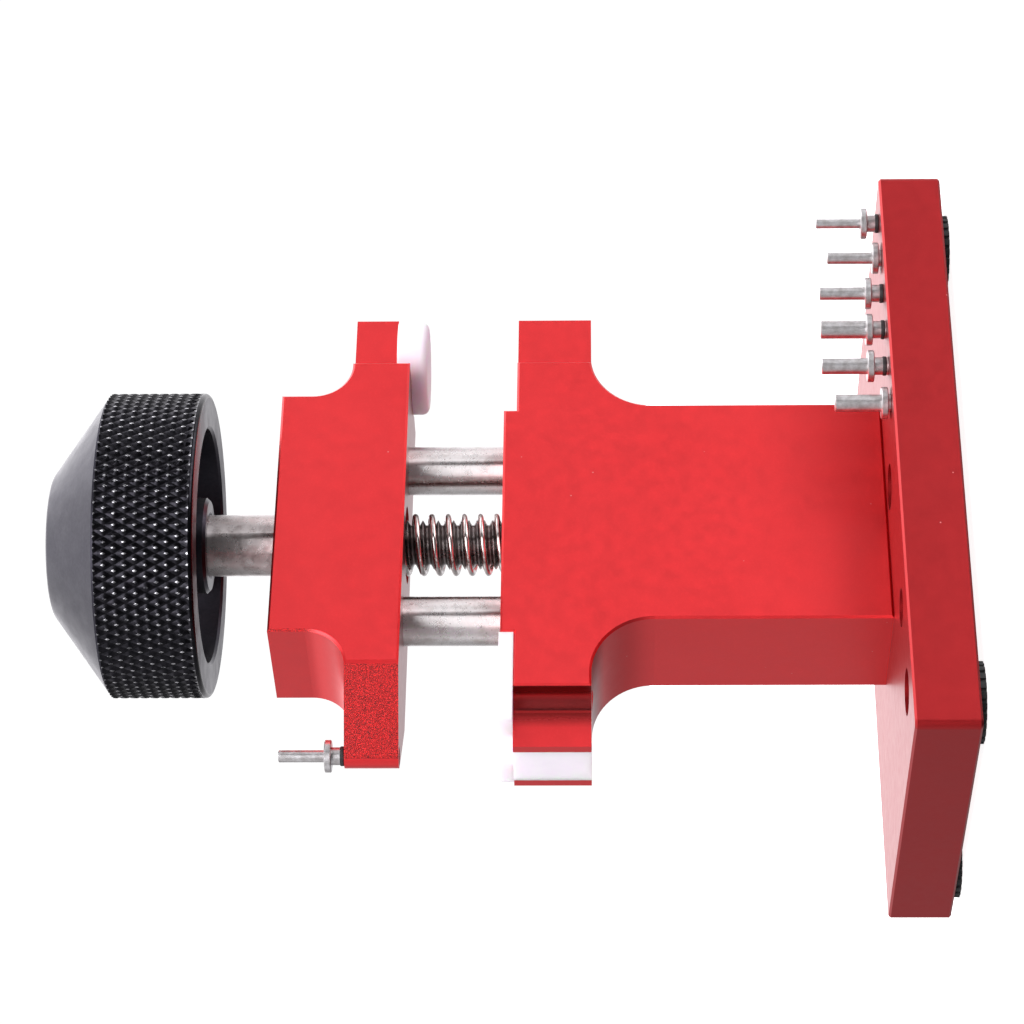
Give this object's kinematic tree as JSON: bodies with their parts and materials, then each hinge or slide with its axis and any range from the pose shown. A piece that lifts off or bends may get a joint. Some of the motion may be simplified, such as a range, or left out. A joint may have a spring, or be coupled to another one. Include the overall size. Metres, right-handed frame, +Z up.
{
  "type": "bench pin press",
  "caption": "Small bench-top screw press with red anodised jaws, guide rods and a knurled knob, for pressing roll pins in and out of folding keys.",
  "frame": {"origin": "centre of the footprint on the surface the rubber feet stand on, on the spindle axis", "axes": "+Z up the spindle from the feet to the knob, -Y the front with the row of press pins, -X the side of the punch lug"},
  "size_m": [0.106, 0.059, 0.1457],
  "materials": {
    "red_anodised": "satin red anodised",
    "black_anodised": "black anodised, knurled",
    "ground_steel": "ground and turned",
    "spring_steel": "drawn wire",
    "plain_steel": "plain",
    "brass": "turned",
    "nylon": "machined white nylon",
    "black_rubber": "moulded"
  },
  "bodies": {
    "base": {"base_plate": "red_anodised", "rubber_feet": "black_rubber", "column": "red_anodised", "column_screws": "plain_steel", "screw_nut": "brass", "nylon_anvil": "nylon", "return_spring": "spring_steel"},
    "jaw": {"moving_jaw": "red_anodised", "guide_rod_left": "ground_steel", "guide_rod_right": "ground_steel", "nylon_pad": "nylon", "thrust_washer": "plain_steel", "spring_seat_washer": "plain_steel"},
    "spindle": {"lead_screw": "ground_steel", "knob": "black_anodised", "knob_set_screw": "plain_steel", "retaining_ring": "plain_steel"},
    "pin_1": {"press_pin_1": "ground_steel", "pin_ring_1": "black_rubber"},
    "pin_2": {"press_pin_2": "ground_steel", "pin_ring_2": "black_rubber"},
    "pin_3": {"press_pin_3": "ground_steel", "pin_ring_3": "black_rubber"},
    "pin_4": {"press_pin_4": "ground_steel", "pin_ring_4": "black_rubber"},
    "pin_5": {"press_pin_5": "ground_steel", "pin_ring_5": "black_rubber"},
    "pin_6": {"press_pin_6": "ground_steel", "pin_ring_6": "black_rubber"},
    "pin_7": {"press_pin_7": "ground_steel", "pin_ring_7": "black_rubber"}
  },
  "joints": [
    {"name": "jaw_slide", "type": "slide", "parent": "base", "child": "jaw", "axis": [0, 0, 1], "range_m": [-0.015, 0.006], "deforming": ["return_spring"]},
    {"name": "knob_spin", "type": "hinge", "parent": "jaw", "child": "spindle", "pos_m": [0, 0, 0.1205], "axis": [0, 0, 1], "range_deg": [-4322, 1730]},
    {"name": "pin_pull_1", "type": "slide", "parent": "base", "child": "pin_1", "axis": [0, 0, 1], "range_m": [0, 0.012]},
    {"name": "pin_pull_2", "type": "slide", "parent": "base", "child": "pin_2", "axis": [0, 0, 1], "range_m": [0, 0.012]},
    {"name": "pin_pull_3", "type": "slide", "parent": "base", "child": "pin_3", "axis": [0, 0, 1], "range_m": [0, 0.012]},
    {"name": "pin_pull_4", "type": "slide", "parent": "base", "child": "pin_4", "axis": [0, 0, 1], "range_m": [0, 0.012]},
    {"name": "pin_pull_5", "type": "slide", "parent": "base", "child": "pin_5", "axis": [0, 0, 1], "range_m": [0, 0.012]},
    {"name": "pin_pull_6", "type": "slide", "parent": "base", "child": "pin_6", "axis": [0, 0, 1], "range_m": [0, 0.012]},
    {"name": "pin_pull_7", "type": "slide", "parent": "jaw", "child": "pin_7", "axis": [0, 0, 1], "range_m": [0, 0.012]}
  ],
  "couplings": [
    {"joint": "knob_spin", "follows": "jaw_slide", "rad_per_m": 5026.5}
  ]
}
